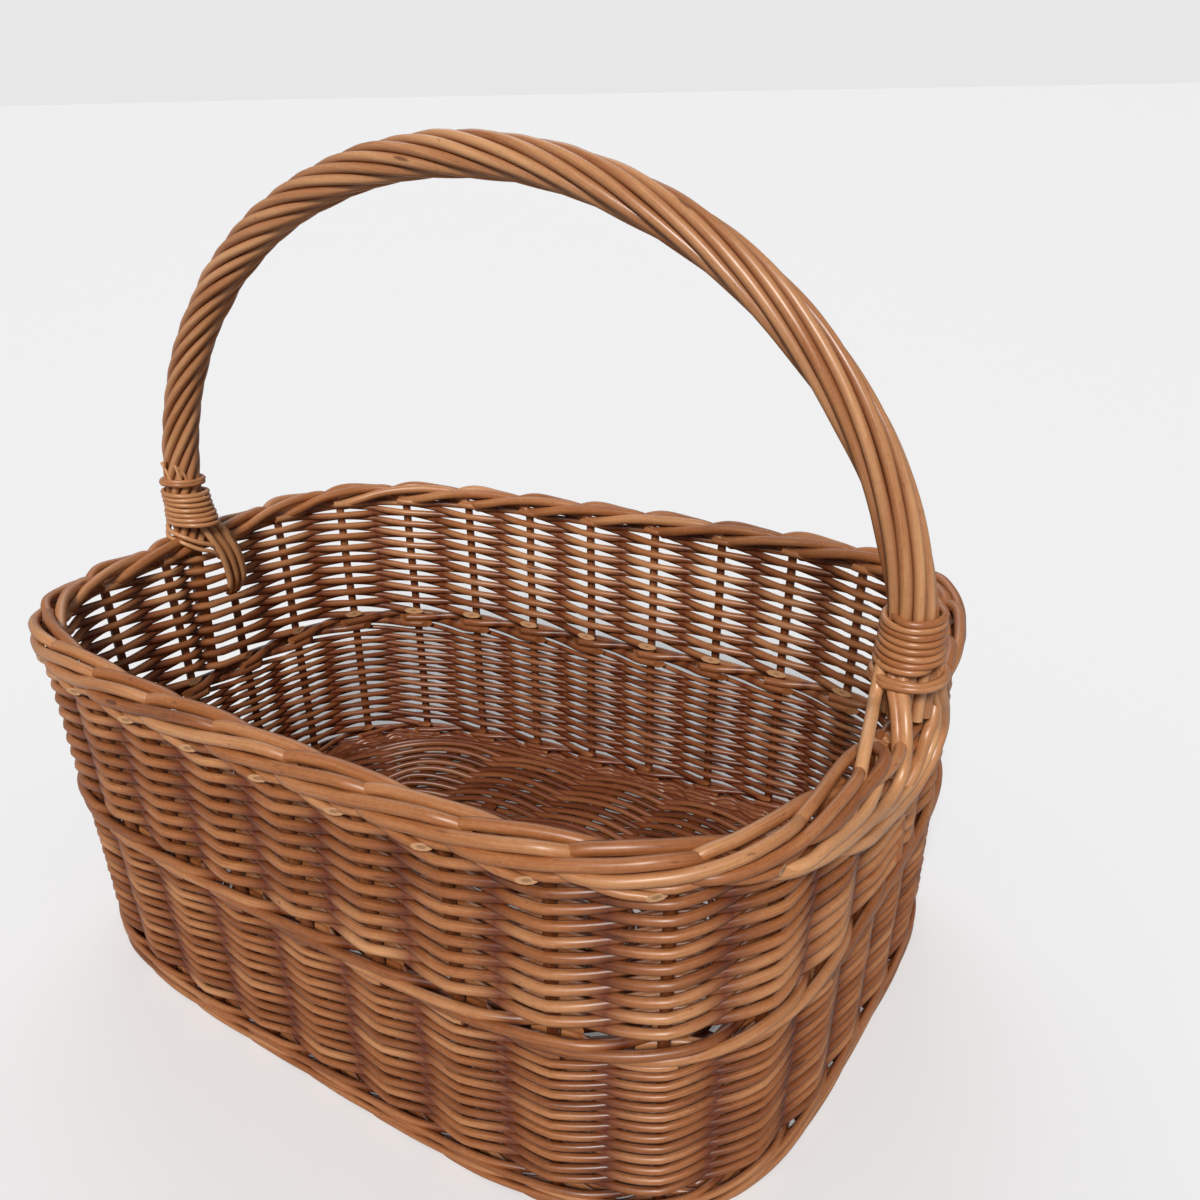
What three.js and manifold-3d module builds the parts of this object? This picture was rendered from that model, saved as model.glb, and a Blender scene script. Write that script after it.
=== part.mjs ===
// A willow basket with rounded ends, tapering walls and a fixed roped handle over its long direction.
// Millimetres, +Z up. The origin is on the ground under the middle of the base; +X points at the fuller end.
import * as THREE from 'three';
import { mergeVertices } from 'three/addons/utils/BufferGeometryUtils.js';
import Module from 'manifold-3d';

const wasm = await Module();
wasm.setup();

// Driving dimensions
const rimHalfLength = 230; // centre line of the border
const rimHalfWidth = 167.5;
const outlinePower = 4.1; // 2 is an ellipse, higher is squarer
const endFullness = 0.095; // how much wider the +X end is than the middle
const baseRatio = 0.94; // the outline on the ground over the outline at the rim
const rimHeight = 192; // ground to the middle of the border
const clearance = 0.35; // between pieces that touch
const outlineSteps = 60;

const stakeCount = 30;
const stakeRadius = 2.7;

const bands = [
  // name, bottom, top, wall thickness, colour
  ['foot_wale', 0, 13, 15.5, '#9a5f36'],
  ['lower_weave', 13, 93, 12.5, '#a4683c'],
  ['middle_wale', 93, 103, 15, '#a86d40'],
  ['upper_weave', 103, 184, 14, '#ad7344'],
];
const borderWidth = 19;
const borderHeight = 15;
const borderBevel = 4.5;

const baseUnderside = 2.5; // the crowned base stands clear of the ground
const baseThickness = 10;
const crossStick = { width: 9, height: 6.4, places: [-128, -64, 0, 64, 128] };
const longStick = { width: 6.5, height: 3, places: [-46, 0, 46] };

const archHalfSpan = 230;
const archRise = 204.5;
const archSpring = 26; // straight legs above the rim before the arch starts
const coreRadius = 5.2;
const legRadius = 4;
const legDepth = 78; // how far the bow's cut ends go down into the wall
const strandCount = 9;
const strandRadius = 2.4;
const ropeRadius = 8.7; // centre line of the handle to the centre line of each strand
const strandSteps = 36;
const twistTurns = 3.2; // turns of the rope from end to end, most of them at the -X end
const bindingHeight = 34;
const bindingRadii = [12.4, 15.4];
const lashingRadius = 2.6;

const willow = (colour, roughness = 0.55) => new THREE.MeshStandardMaterial({ color: colour, roughness, metalness: 0 });
const basket = new THREE.Group();

function addPiece(name, geometry, material) {
  const mesh = new THREE.Mesh(geometry, material);
  mesh.name = name;
  basket.add(mesh);
  return mesh;
}

// The plan of the basket: a rounded oblong, spaced evenly along its edge.
const signedPower = (value, power) => Math.sign(value) * Math.abs(value) ** power;

function planPoint(angle) {
  const x = rimHalfLength * signedPower(Math.cos(angle), 2 / outlinePower);
  const y = rimHalfWidth * signedPower(Math.sin(angle), 2 / outlinePower);
  return new THREE.Vector2(x, y * (1 + (endFullness * x) / rimHalfLength));
}

const fineSteps = 2880;
const finePlan = Array.from({ length: fineSteps + 1 }, (_, i) => planPoint((i / fineSteps) * 2 * Math.PI));
const runningLength = [0];
for (let i = 1; i <= fineSteps; i += 1) {
  runningLength.push(runningLength[i - 1] + finePlan[i].distanceTo(finePlan[i - 1]));
}

function planAt(fraction) {
  const wanted = (((fraction % 1) + 1) % 1) * runningLength[fineSteps];
  const i = Math.max(1, runningLength.findIndex((length) => length >= wanted));
  const share = (wanted - runningLength[i - 1]) / (runningLength[i] - runningLength[i - 1]);
  return finePlan[i - 1].clone().lerp(finePlan[i], share);
}

function planNormal(fraction) {
  const along = planAt(fraction + 0.002).sub(planAt(fraction - 0.002)).normalize();
  return new THREE.Vector2(along.y, -along.x);
}

function planRing(offset) {
  return Array.from({ length: outlineSteps }, (_, i) => {
    const fraction = i / outlineSteps;
    return planAt(fraction).addScaledVector(planNormal(fraction), offset);
  });
}

function roundHole(centre, radius, sides) {
  return Array.from({ length: sides }, (_, i) => {
    const angle = (i / sides) * 2 * Math.PI;
    return new THREE.Vector2(centre.x + radius * Math.cos(angle), centre.y + radius * Math.sin(angle));
  });
}

// Everything in the wall is drawn in plan at the rim, extruded upwards and then drawn in towards the base.
const wallScale = (height) => baseRatio + ((1 - baseRatio) * height) / rimHeight;

function taper(geometry) {
  const position = geometry.attributes.position;
  for (let i = 0; i < position.count; i += 1) {
    const scale = wallScale(position.getZ(i));
    position.setXY(i, position.getX(i) * scale, position.getY(i) * scale);
  }
  geometry.computeVertexNormals();
  return geometry;
}

function extrudePlan(outline, holes, bottom, top, bevel = 0) {
  const shape = new THREE.Shape(outline);
  shape.holes = holes.map((hole) => new THREE.Path(hole));
  const settings = { depth: top - bottom - 2 * bevel, steps: 1, bevelEnabled: bevel > 0 };
  if (bevel > 0) {
    Object.assign(settings, { bevelThickness: bevel, bevelSize: bevel, bevelOffset: -bevel, bevelSegments: 1 });
  }
  return new THREE.ExtrudeGeometry(shape, settings).translate(0, 0, bottom + bevel);
}

// Booleans
function toSolid(geometry) {
  const bare = geometry.clone();
  bare.deleteAttribute('normal');
  bare.deleteAttribute('uv');
  const merged = mergeVertices(bare, 1e-4);
  const vertProperties = new Float32Array(merged.attributes.position.array);
  return new wasm.Manifold(new wasm.Mesh({ numProp: 3, vertProperties, triVerts: new Uint32Array(merged.index.array) }));
}

function toGeometry(solid) {
  const mesh = solid.getMesh();
  const geometry = new THREE.BufferGeometry();
  geometry.setAttribute('position', new THREE.BufferAttribute(new Float32Array(mesh.vertProperties), 3));
  geometry.setIndex(new THREE.BufferAttribute(new Uint32Array(mesh.triVerts), 1));
  geometry.computeVertexNormals();
  return geometry;
}

const stakePlaces = Array.from({ length: stakeCount }, (_, i) => planAt((i + 0.5) / stakeCount));
const legPlaces = [planAt(0), planAt(0.5)];
const stakeSides = 5;
const legSides = 6;

// Woven bands, one on top of another, each pierced by the stakes and, near the rim, by the handle's legs
function makeBands() {
  const legBottom = rimHeight - legDepth;
  for (const [name, bottom, top, thickness, colour] of bands) {
    const holes = [planRing(-thickness / 2)];
    for (const place of stakePlaces) {
      holes.push(roundHole(place, stakeRadius + clearance, stakeSides));
    }
    if (top > legBottom) {
      for (const place of legPlaces) {
        holes.push(roundHole(place, legRadius + 2 * clearance, legSides));
      }
    }
    const gap = bottom > 0 ? clearance : 0;
    addPiece(name, taper(extrudePlan(planRing(thickness / 2), holes, bottom + gap, top)), willow(colour));
  }
}

function makeStakes() {
  const bottom = 1;
  const top = rimHeight - borderHeight / 2 - clearance;
  stakePlaces.forEach((place, i) => {
    const stake = taper(extrudePlan(roundHole(place, stakeRadius, stakeSides), [], bottom, top));
    addPiece(`stake_${String(i + 1).padStart(2, '0')}`, stake, willow('#95582f'));
  });
}

// The plaited border lies on the stakes' tops and lets the handle's legs through.
function makeBorder() {
  const low = rimHeight - borderHeight / 2;
  const holes = [planRing(-borderWidth / 2)];
  for (const place of legPlaces) {
    holes.push(roundHole(place, legRadius + 2 * clearance + borderBevel, legSides));
  }
  const ring = extrudePlan(planRing(borderWidth / 2), [holes[0]], low, low + borderHeight, borderBevel);
  let solid = toSolid(taper(ring));
  for (const place of legPlaces) {
    const drill = extrudePlan(roundHole(place, legRadius + 2 * clearance, legSides), [], low - 5, low + borderHeight + 5);
    solid = solid.subtract(toSolid(taper(drill)));
  }
  addPiece('border', toGeometry(solid), willow('#b0744a', 0.5));
}

// Base: long sticks threaded through slits in the cross sticks, and a woven oval mat around them
function makeBase() {
  const middle = baseUnderside + baseThickness / 2;
  const inside = bands[0][3] / 2 + clearance;
  const stickBox = (place, size, reach, grow, alongX) => {
    const length = 2 * (reach + grow);
    const box = new THREE.BoxGeometry(
      alongX ? length : size.width + 2 * grow,
      alongX ? size.width + 2 * grow : length,
      size.height + 2 * grow,
    );
    return alongX ? box.translate(0, place, middle) : box.translate(place, 0, middle);
  };
  const crossReach = (x) => (rimHalfWidth * baseRatio * (1 + (endFullness * x) / rimHalfLength)) - inside - 10;
  const longReach = rimHalfLength * baseRatio - inside - 10;
  const past = 60; // channels run out through the mat's edge

  const scaleHere = wallScale(middle);
  const outline = planRing(-inside - 0.3).map((point) => point.multiplyScalar(scaleHere));
  let mat = toSolid(extrudePlan(outline, [], baseUnderside, baseUnderside + baseThickness));

  crossStick.places.forEach((x, i) => {
    let stick = toSolid(stickBox(x, crossStick, crossReach(x), 0, false));
    for (const y of longStick.places) {
      stick = stick.subtract(toSolid(stickBox(y, longStick, longReach, clearance, true)));
    }
    addPiece(`base_cross_stick_${i + 1}`, toGeometry(stick), willow('#8a5230'));
    mat = mat.subtract(toSolid(stickBox(x, crossStick, crossReach(x) + past, clearance, false)));
  });
  longStick.places.forEach((y, i) => {
    addPiece(`base_long_stick_${i + 1}`, stickBox(y, longStick, longReach, 0, true), willow('#8a5230'));
    mat = mat.subtract(toSolid(stickBox(y, longStick, longReach + past, clearance, true)));
  });
  addPiece('base_weave', toGeometry(mat), willow('#8f5732', 0.6));
}

// Handle: its centre line rises straight from each end of the rim and then follows a half ellipse.
const ropeBottom = rimHeight + borderHeight / 2 + 1;
const springHeight = rimHeight + archSpring;
const legLength = springHeight - ropeBottom;
const archLength = (Math.PI / 2) * (archHalfSpan + archRise) * 1.001;
const handleLength = archLength + 2 * legLength;

function handlePoint(share) {
  const along = share * handleLength;
  if (along < legLength) {
    return new THREE.Vector3(archHalfSpan, 0, ropeBottom + along);
  }
  if (along > handleLength - legLength) {
    return new THREE.Vector3(-archHalfSpan, 0, ropeBottom + handleLength - along);
  }
  const angle = (Math.PI * (along - legLength)) / archLength;
  return new THREE.Vector3(archHalfSpan * Math.cos(angle), 0, springHeight + archRise * Math.sin(angle));
}

function tube(points, radius, sides, steps) {
  const section = new THREE.Shape(roundHole(new THREE.Vector2(), radius, sides));
  const extrudePath = new THREE.CatmullRomCurve3(points, false, 'centripetal');
  return new THREE.ExtrudeGeometry(section, { steps, extrudePath });
}

// The rope hardly twists near the +X foot and ever faster towards the -X foot.
const ropeTwist = (share) => 2 * Math.PI * twistTurns * (0.3 * share + 0.7 * share ** 2);

function strandPoint(share, phase) {
  const centre = handlePoint(share);
  const step = 0.004;
  const ahead = handlePoint(Math.min(share + step, 1)).sub(handlePoint(Math.max(share - step, 0))).normalize();
  const outward = new THREE.Vector3(ahead.z, 0, -ahead.x);
  const angle = phase + ropeTwist(share);
  return centre
    .addScaledVector(outward, ropeRadius * Math.cos(angle))
    .add(new THREE.Vector3(0, ropeRadius * Math.sin(angle), 0));
}

function makeHandle() {
  const coreSteps = 36;
  const corePoints = Array.from({ length: coreSteps + 1 }, (_, i) => handlePoint(i / coreSteps));
  let core = toSolid(tube(corePoints, coreRadius, 8, coreSteps));
  const legBottom = rimHeight - legDepth;
  for (const place of legPlaces) {
    const leg = extrudePlan(roundHole(place, legRadius, legSides), [], legBottom, ropeBottom + 2);
    core = core.add(toSolid(taper(leg)));
  }
  addPiece('handle_bow', toGeometry(core), willow('#8f5732'));

  for (let i = 0; i < strandCount; i += 1) {
    const phase = (i / strandCount) * 2 * Math.PI;
    const points = Array.from({ length: strandSteps + 1 }, (_, k) => {
      const even = k / strandSteps;
      return strandPoint(1 - (1 - even) ** 1.35, phase); // shorter steps where the twist is tight
    });
    addPiece(`handle_strand_${String(i + 1).padStart(2, '0')}`, tube(points, strandRadius, 5, strandSteps),
      willow('#a96c41', 0.45));
  }
}

// A sleeve of fine bound rods around each foot, and a rod that ties the foot down over the border
function makeFeet() {
  const [inner, outer] = bindingRadii;
  const bottom = ropeBottom + 1.5;
  const top = bottom + bindingHeight;
  const chamfer = 1;
  const profile = [
    [inner, bottom], [outer - chamfer, bottom], [outer, bottom + chamfer],
    [outer, top - chamfer], [outer - chamfer, top], [inner, top], [inner, bottom],
  ].map(([radius, height]) => new THREE.Vector2(radius, height));
  for (const [side, sign] of [['right', 1], ['left', -1]]) {
    const sleeve = new THREE.LatheGeometry(profile, 16);
    sleeve.rotateX(Math.PI / 2);
    sleeve.translate(sign * (archHalfSpan - 0.5), 0, 0);
    addPiece(`${side}_handle_binding`, sleeve, willow('#b27a4d', 0.5));

    const apart = outer + lashingRadius + 2.5;
    const clear = lashingRadius + 2.4;
    const route = [
      [borderWidth / 2 + clear - 1, -34], [borderWidth / 2 + clear, -8],
      [borderWidth / 2 + clear - 2.5, borderHeight / 2], [0, borderHeight / 2 + clear + 0.5],
      [-borderWidth / 2 - clear + 2.5, borderHeight / 2], [-borderWidth / 2 - clear, -8],
      [-borderWidth / 2 - clear + 1, -34],
    ].map(([outward, up]) => {
      const height = rimHeight + up;
      return new THREE.Vector3(sign * (rimHalfLength * wallScale(height) + outward), -apart, height);
    });
    addPiece(`${side}_handle_lashing`, tube(route, lashingRadius, 6, 14), willow('#9d6138', 0.5));
  }
}

makeBase();
makeBands();
makeStakes();
makeBorder();
makeHandle();
makeFeet();

export default basket;
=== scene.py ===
import math

import bpy
import numpy as np
from mathutils import Euler, Matrix, Vector


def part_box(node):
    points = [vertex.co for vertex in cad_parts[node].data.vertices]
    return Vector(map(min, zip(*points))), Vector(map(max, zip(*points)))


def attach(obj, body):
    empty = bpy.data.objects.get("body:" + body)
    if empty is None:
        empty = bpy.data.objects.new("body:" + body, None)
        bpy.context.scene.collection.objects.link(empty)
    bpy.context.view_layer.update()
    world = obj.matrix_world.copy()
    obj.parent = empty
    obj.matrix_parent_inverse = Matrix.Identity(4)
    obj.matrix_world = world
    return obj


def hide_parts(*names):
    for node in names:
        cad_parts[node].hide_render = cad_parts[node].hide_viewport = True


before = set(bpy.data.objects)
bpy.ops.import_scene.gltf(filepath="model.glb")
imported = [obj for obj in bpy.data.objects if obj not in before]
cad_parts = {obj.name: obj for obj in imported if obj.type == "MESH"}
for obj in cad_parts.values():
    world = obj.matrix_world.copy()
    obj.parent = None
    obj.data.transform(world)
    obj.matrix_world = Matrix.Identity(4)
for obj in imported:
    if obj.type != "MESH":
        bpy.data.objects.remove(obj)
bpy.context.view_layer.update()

mm = 0.001
circle = 2 * math.pi
body = "root"


cameraValues = {
    "place": (0.3646, -0.4772, 0.4492),
    "tilt": 67.05,  # degrees up from looking straight down
    "heading": 31.63,
    "roll": -1.18,
    "lens": 36.26,
}


def makeCamera(values):
    data = bpy.data.cameras.new("camera")
    data.lens = values["lens"]
    data.sensor_width = 36
    data.clip_start = 0.01
    camera = bpy.data.objects.new("camera", data)
    turn = Euler((math.radians(values["tilt"]), 0, math.radians(values["heading"])))
    roll = Matrix.Rotation(math.radians(values["roll"]), 3, "Z")
    camera.matrix_world = (turn.to_matrix() @ roll).to_4x4()
    camera.location = values["place"]
    bpy.context.scene.collection.objects.link(camera)
    bpy.context.scene.camera = camera


makeCamera(cameraValues)
print("camera made")


borderLow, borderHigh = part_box("border")
borderWidth = 19 * mm

planValues = {
    "halfLength": (borderHigh.x - borderLow.x - borderWidth) / 2,
    "halfWidth": 167.5 * mm,
    "power": 4.1,  # 2 is an ellipse, higher is squarer
    "fullness": 0.095,  # how much wider the +X end is than the middle
    "baseRatio": 0.94,  # the outline on the ground over the outline at the rim
    "rimHeight": (borderLow.z + borderHigh.z) / 2,
    "stakes": 30,
    "fineSteps": 2880,
    "slackStake": 1.9,  # the wall leans in a little at the top round this stake
    "slackReach": 1.3,  # how many stakes it takes on each side
    "slackDepth": 6.5 * mm,
}
stakeCount = planValues["stakes"]
rimHeight = planValues["rimHeight"]


def signedPower(value, power):
    return np.sign(value) * np.abs(value) ** power


def makePlan(values):
    angle = np.linspace(0, circle, values["fineSteps"] + 1)
    x = values["halfLength"] * signedPower(np.cos(angle), 2 / values["power"])
    y = values["halfWidth"] * signedPower(np.sin(angle), 2 / values["power"])
    lengthShare = x / values["halfLength"]
    y = y * (1 + values["fullness"] * lengthShare)
    run = np.concatenate([[0], np.cumsum(np.hypot(np.diff(x), np.diff(y)))])
    return x, y, run


planX, planY, planRun = makePlan(planValues)
stakePitch = planRun[-1] / stakeCount


def planAt(fraction):
    along = (fraction % 1) * planRun[-1]
    return np.stack([np.interp(along, planRun, planX), np.interp(along, planRun, planY)], -1)


def onWall(stake, outward, height):
    # a place on the wall: counted in stakes, outwards from the middle of the wall, and up from the ground
    stake, outward, height = np.broadcast_arrays(
        np.asarray(stake, float), np.asarray(outward, float), np.asarray(height, float))
    fraction = (stake + 0.5) / stakeCount
    nearby = 0.001
    along = planAt(fraction + nearby) - planAt(fraction - nearby)
    along = along / np.linalg.norm(along, axis=-1, keepdims=True)
    share = np.clip(height / rimHeight, 0, 1)
    scale = planValues["baseRatio"] + (1 - planValues["baseRatio"]) * share
    half = stakeCount / 2
    fromSlack = (stake - planValues["slackStake"] + half) % stakeCount - half
    slack = np.exp(-(fromSlack / planValues["slackReach"]) ** 2)
    outward = outward - planValues["slackDepth"] * share ** 2 * slack
    middle = planAt(fraction) * scale[..., None]
    x = middle[..., 0] + along[..., 1] * outward
    y = middle[..., 1] - along[..., 0] * outward
    return np.stack([x, y, height], -1)


def outwardAt(stake):
    here = onWall(stake, 0, rimHeight)
    return onWall(stake, 1, rimHeight) - here


def curveThrough(knots, spacing):
    # a smooth curve through a few points, sampled evenly
    knots = np.array(knots, float)
    gaps = np.linalg.norm(np.diff(knots, axis=0), axis=1)
    at = np.concatenate([[0], np.cumsum(gaps)])
    slopes = np.gradient(knots, at, axis=0)
    where = np.linspace(0, at[-1], max(4, int(at[-1] / spacing) + 1))
    span = np.clip(np.searchsorted(at, where, side="right") - 1, 0, len(gaps) - 1)
    gap = gaps[span][:, None]
    t = (where - at[span])[:, None] / gap
    stay = (1 + 2 * t) * (1 - t) ** 2 * knots[span] + t ** 2 * (3 - 2 * t) * knots[span + 1]
    lean = t * (1 - t) ** 2 * gap * slopes[span] - t ** 2 * (1 - t) * gap * slopes[span + 1]
    return stay + lean


def wobble(rng, along, wave, size):
    # slow uneven drift, as no willow rod is quite straight
    total = np.zeros_like(along)
    for share in (1, 0.6, 0.35):
        total = total + share * np.sin(along * circle / (wave * share) + rng.uniform(0, circle))
    return total * size / 2


def aroundRod(sides):
    # the angles of the points round a rod
    return np.arange(sides) / sides * circle


class Rods:
    # many willow rods in one mesh: each is a tube along its points, closed at both ends

    def __init__(self, sides=8):
        self.sides = sides
        self.points = []
        self.grain = []
        self.tone = []
        self.cut = []
        self.recess = []
        self.faces = []
        self.total = 0

    def keep(self, points, grain, tone, cut, recess):
        start = self.total
        self.points.append(points)
        self.grain.append(grain)
        self.tone.append(np.full(len(points), tone))
        self.cut.append(np.full(len(points), float(cut)))
        self.recess.append(recess.ravel())
        self.total += len(points)
        return start

    def add(self, points, radius, tone, guide=None, startCut=None, endCut=None, offset=0.0, recess=0.0,
            pale=(1, 1)):
        # startCut and endCut are (how many times longer than deep the slant is, the way its face looks)
        # painted shade darkens each point by a share from 0 to 1, deep in the weave and where shade falls;
        # pale is 1 for each freshly cut end
        count, sides = len(points), self.sides
        radius = np.broadcast_to(np.asarray(radius, float), (count,))
        tangent = np.gradient(points, axis=0)
        tangent /= np.linalg.norm(tangent, axis=1, keepdims=True)
        across = self.carry(tangent) if guide is None else np.broadcast_to(guide, points.shape)
        across = across - (across * tangent).sum(1, keepdims=True) * tangent
        across = across / np.linalg.norm(across, axis=1, keepdims=True)
        beside = np.cross(tangent, across)
        angle = aroundRod(sides)
        spoke = (across[:, None] * np.cos(angle)[None, :, None]
                 + beside[:, None] * np.sin(angle)[None, :, None])
        ring = points[:, None] + spoke * radius[:, None, None]
        for end, way, cut in ((0, -1, startCut), (count - 1, 1, endCut)):
            if cut:
                slant, face = cut[0], np.asarray(cut[1], float)
                reach = slant * radius[end] * (1 - spoke[end] @ face / np.linalg.norm(face))
                ring[end] += way * tangent[end] * reach[:, None]
        length = np.concatenate([[0], np.cumsum(np.linalg.norm(np.diff(points, axis=0), axis=1))])
        grain = np.stack([np.broadcast_to(length[:, None] + offset, (count, sides)),
                          radius[:, None] * np.cos(angle), radius[:, None] * np.sin(angle)], -1)
        recess = np.asarray(recess, float)
        if recess.ndim == 1:
            recess = recess[:, None]
        recess = np.broadcast_to(recess, (count, sides))
        start = self.keep(ring.reshape(-1, 3), grain.reshape(-1, 3), tone, 0, recess)
        step = np.arange(count - 1)[:, None] * sides
        side = np.arange(sides)[None, :]
        after = (side + 1) % sides
        quads = np.stack([step + side, step + after, step + sides + after, step + sides + side], -1)
        self.faces += (quads.reshape(-1, 4) + start).tolist()
        first = self.keep(ring[0], grain[0], tone, pale[0], recess[0])
        self.faces.append([first + i for i in reversed(range(sides))])
        last = self.keep(ring[-1], grain[-1], tone, pale[1], recess[-1])
        self.faces.append([last + i for i in range(sides)])

    def carry(self, tangent):
        # a direction across the rod, carried along it without twisting
        lead = np.eye(3)[np.argmin(np.abs(tangent[0]))]
        kept = []
        for t in tangent:
            lead = lead - lead.dot(t) * t
            lead = lead / math.sqrt(lead.dot(lead))
            kept.append(lead)
        return np.array(kept)

    def build(self, name, finish, slot, *nodes):
        points = np.concatenate(self.points)
        mesh = bpy.data.meshes.new(name)
        mesh.from_pydata(points.tolist(), [], self.faces)
        mesh.shade_smooth()
        for label, values in (("rodTone", self.tone), ("cut", self.cut), ("recess", self.recess)):
            layer = mesh.attributes.new(label, "FLOAT", "POINT")
            layer.data.foreach_set("value", np.concatenate(values))
        layer = mesh.attributes.new("grain", "FLOAT_VECTOR", "POINT")
        layer.data.foreach_set("vector", np.concatenate(self.grain).ravel())
        mesh.materials.append(finish)
        piece = bpy.data.objects.new(name, mesh)
        bpy.context.scene.collection.objects.link(piece)
        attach(piece, body)
        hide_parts(*nodes)
        return piece


paintedShadeValues = {
    "creviceDepth": 4 * mm,  # rods nearer than this to the middle of the wall get painted shade, as in a crevice
    "creviceEdge": 1.3,
    "lightFrom": 1.05,  # over the rim's height: above this the inside gets no painted shade and is as light as the outside
    "lowEdge": 1.1,
    "underBase": 0.15,
    "onBase": 0.75,
}


def paintedShadeOnWall(outward, height, sides):
    # painted shade: rods darken where they go in between others, and the inside of the wall is painted
    # darker low down
    values = paintedShadeValues
    facingIn = (1 - np.sin(aroundRod(sides))) / 2
    crevice = np.clip(1 - np.abs(outward) / values["creviceDepth"], 0, 1) ** values["creviceEdge"]
    low = np.clip(values["lightFrom"] - height / rimHeight, 0, 1) ** values["lowEdge"]
    return np.maximum(crevice[:, None], low[:, None] * facingIn[None, :])


def paintedShadeOnTop(run, sides):
    # painted shade: the upper face of the base, inside the basket, is painted darker, and the rest of it a
    # little
    facingUp = (1 + np.cos(aroundRod(sides))) / 2
    return np.tile(paintedShadeValues["underBase"] + paintedShadeValues["onBase"] * facingUp, (len(run), 1))


def knobbly(rng, along, radius, size=0.03):
    # a rod's thickness swells and thins a little along it
    return radius * (1 + wobble(rng, along, 0.11, size))


class Value:
    # one value in a shader, so that sums read as sums

    def __init__(self, shading, socket):
        self.shading = shading
        self.socket = socket

    def maths(self, operation, first, second):
        return self.shading.node("ShaderNodeMath", {"operation": operation}, {0: first, 1: second})

    def __add__(self, other):
        return self.maths("ADD", self, other)

    def __radd__(self, other):
        return self.maths("ADD", other, self)

    def __sub__(self, other):
        return self.maths("SUBTRACT", self, other)

    def __rsub__(self, other):
        return self.maths("SUBTRACT", other, self)

    def __mul__(self, other):
        return self.maths("MULTIPLY", self, other)

    def __rmul__(self, other):
        return self.maths("MULTIPLY", other, self)


class Shading:
    # the nodes of a material or of the room

    def __init__(self, owner):
        owner.use_nodes = True
        self.tree = owner.node_tree
        self.tree.nodes.clear()

    def node(self, kind, settings=None, inputs=None, output=0):
        # makes any node from its type, its settings and its inputs' values or links, and reads one output
        made = self.tree.nodes.new(kind)
        for key, setting in (settings or {}).items():
            if key == "stops":
                self.setStops(made.color_ramp, setting)
            else:
                setattr(made, key, setting)
        for key, given in (inputs or {}).items():
            if isinstance(given, Value):
                self.tree.links.new(given.socket, made.inputs[key])
            else:
                made.inputs[key].default_value = given
        return Value(self, made.outputs[output]) if len(made.outputs) else None

    def setStops(self, ramp, stops):
        while len(ramp.elements) < len(stops):
            ramp.elements.new(1)
        for element, (place, colour) in zip(ramp.elements, stops):
            element.position = place
            element.color = colour

    def mix(self, factor, first, second, blend="MIX"):
        settings = {"data_type": "RGBA", "blend_type": blend}
        return self.node("ShaderNodeMix", settings, {0: factor, 6: first, 7: second}, 2)

    def stretch(self, vector, scale):
        return self.node("ShaderNodeVectorMath", {"operation": "MULTIPLY"}, {0: vector, 1: scale})

    def between(self, value, low, high):
        # 0 at low, 1 at high, eased
        settings = {"interpolation_type": "SMOOTHSTEP"}
        return self.node("ShaderNodeMapRange", settings, {"Value": value, "From Min": low, "From Max": high})


willowValues = {
    "deep": (0.17, 0.046, 0.012, 1),  # the darkest streaks
    "middle": (0.40, 0.142, 0.045, 1),
    "pale": (0.68, 0.345, 0.155, 1),
    "scar": (0.085, 0.024, 0.010, 1),  # knots and specks
    "paintedShadeColour": (0.32, 0.165, 0.13, 1),  # painted shade: the colour that the rods darken to deep between them and low inside
    "cutFace": (0.52, 0.31, 0.165, 1),
    "pith": (0.36, 0.19, 0.09, 1),
    "middleAt": 0.45,
    "seedStep": 61.7,  # gives each rod's tone its own pattern
    # how fine per metre, along the rod and then across it both ways, then detail and roughness of the noise
    "patches": ((14, 90, 90), 2, 0.5),
    "streaks": ((45, 1500, 1500), 4, 0.6),
    "fibres": ((160, 4200, 4200), 2, 0.7),
    "mottle": ((420, 500, 500), 3, 0.6),
    "specks": ((210, 620, 620), 1, 0.5),
    "speckEdge": (0.70, 0.78),
    "speckDepth": 0.45,
    "knotsAlong": 26,
    "knotsAcross": 0.34,  # over the rod's radius
    "knotEdge": (0.10, 0.17),
    "knotDepth": 0.7,
    "pithEdge": (0.22, 0.34),  # over the rod's radius
    "bumpStrength": 0.35,
    "bumpDepth": 0.25 * mm,
    "roughness": 0.38,
    "polish": {"IOR": 1.5, "Coat Weight": 0.22, "Coat Roughness": 0.32},
}


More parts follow.
